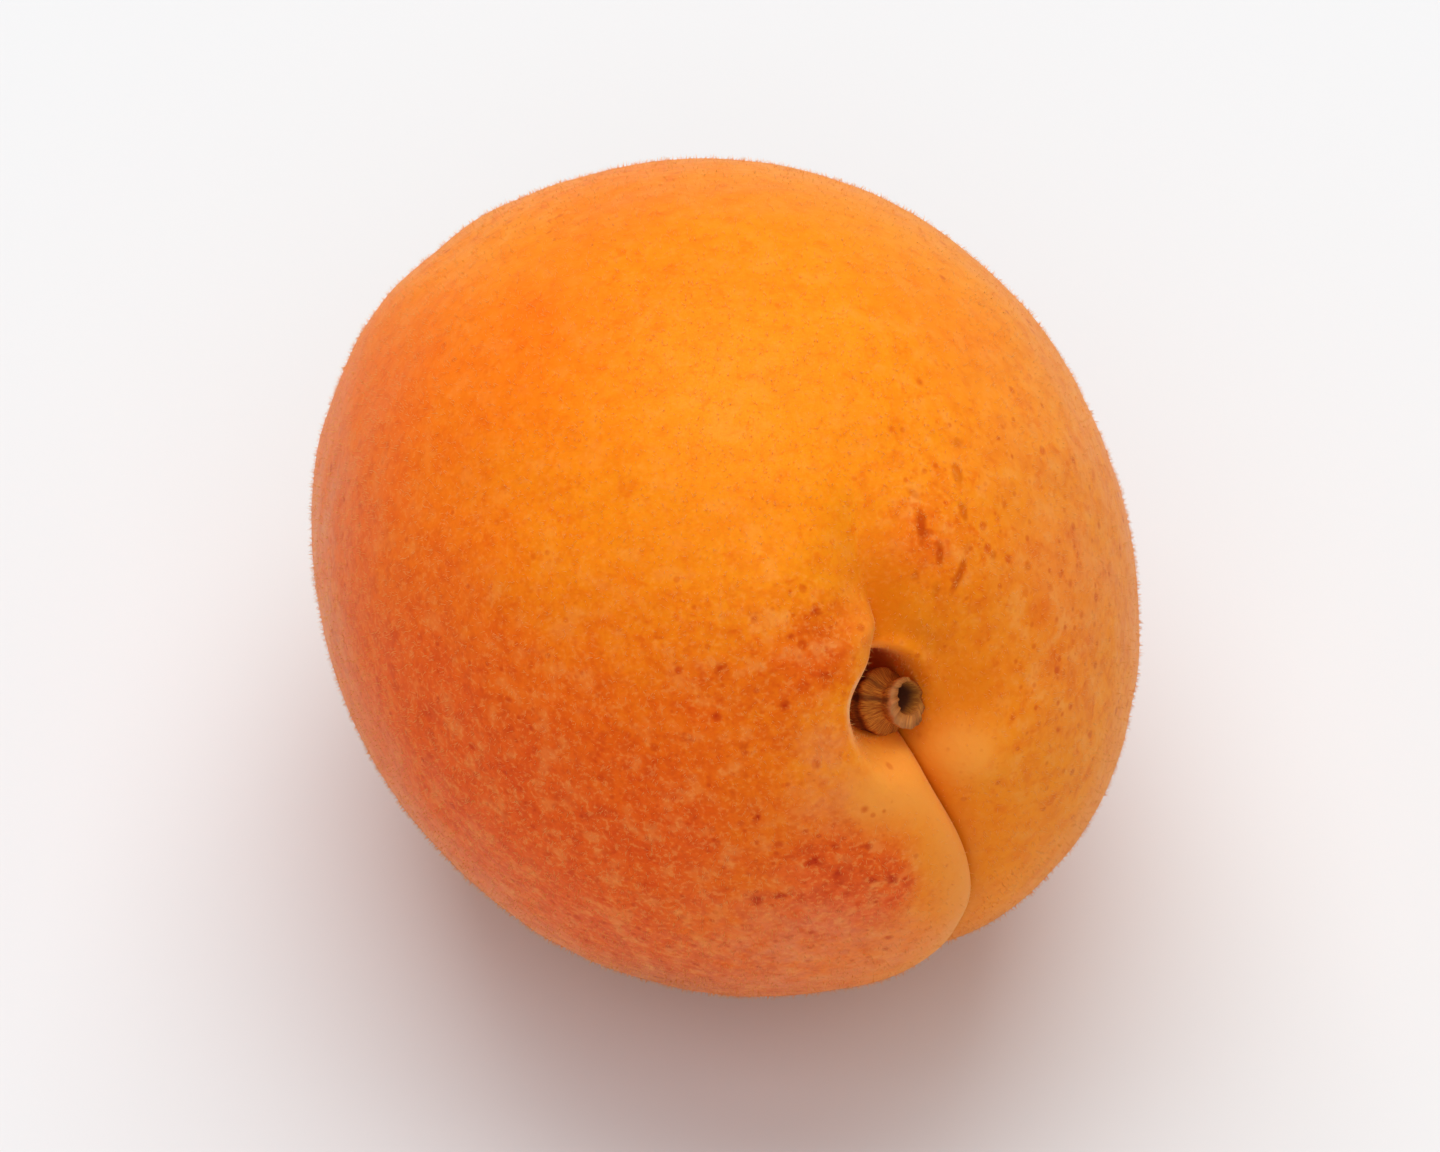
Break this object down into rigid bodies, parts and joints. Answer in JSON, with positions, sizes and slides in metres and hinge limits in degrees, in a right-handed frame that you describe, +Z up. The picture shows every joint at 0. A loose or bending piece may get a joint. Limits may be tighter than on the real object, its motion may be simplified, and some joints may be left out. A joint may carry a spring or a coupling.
{
  "type": "apricot",
  "caption": "Ripe apricot lying on its side, with a suture groove, a hollow at the stem end and the dry stub of its stem.",
  "frame": {"origin": "middle of the flat spot that the fruit rests on", "axes": "+Z up, square to the flat spot; -Y and +X the side that the stem end looks out to"},
  "size_m": [0.0459, 0.049, 0.0476],
  "materials": {
    "skin": "soft, velvety apricot skin, orange with a red blush",
    "wood": "dry, fibrous stem wood, tan to dark brown"
  },
  "bodies": {
    "root": {"fruit": "skin", "stem": "wood"}
  },
  "joints": []
}
